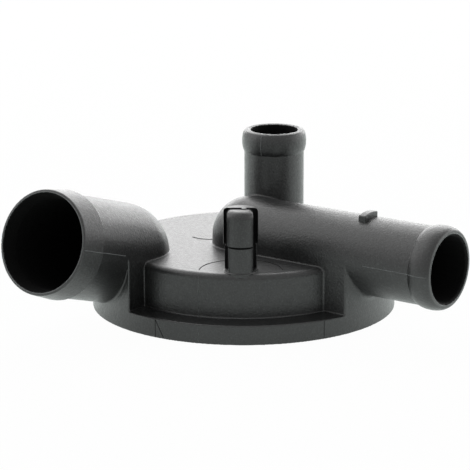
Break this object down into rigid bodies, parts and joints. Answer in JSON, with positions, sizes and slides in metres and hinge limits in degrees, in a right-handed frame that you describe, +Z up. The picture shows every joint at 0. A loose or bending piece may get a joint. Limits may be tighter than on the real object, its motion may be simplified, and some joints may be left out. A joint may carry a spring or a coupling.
{
  "type": "crankcase ventilation valve",
  "caption": "Round diaphragm pressure regulating valve for crankcase gas, with a wide angled inlet, a level outlet, an upright port and a fixing pin on a moulded plastic housing.",
  "frame": {"origin": "centre of the flat bottom face, on the valve's axis", "axes": "+Z up along the valve's axis, towards the upright port's mouth; -Y is the front, with the fixing pin; +X is the side of the level outlet"},
  "size_m": [0.1181, 0.0849, 0.0449],
  "materials": {
    "housing": "satin matte glass-filled nylon",
    "cover": "matte glass-filled nylon",
    "rubber": "matte moulded rubber",
    "plate": "matte plastic",
    "support": "matte plastic",
    "rivet": "zinc plated",
    "spring": "bright spring wire"
  },
  "bodies": {
    "valve_body": {"housing": "housing", "bottom_cover": "cover", "diaphragm": "rubber", "return_spring": "spring"},
    "valve_group": {"valve_plate": "plate", "support_plate": "support", "centre_rivet": "rivet"}
  },
  "joints": [
    {"name": "valve_lift", "type": "slide", "parent": "valve_body", "child": "valve_group", "axis": [0, 0, 1], "range_m": [0, 0.0024], "stiffness_N_per_m": 150, "springref_m": -0.004, "deforming": ["return_spring", "diaphragm"]}
  ]
}
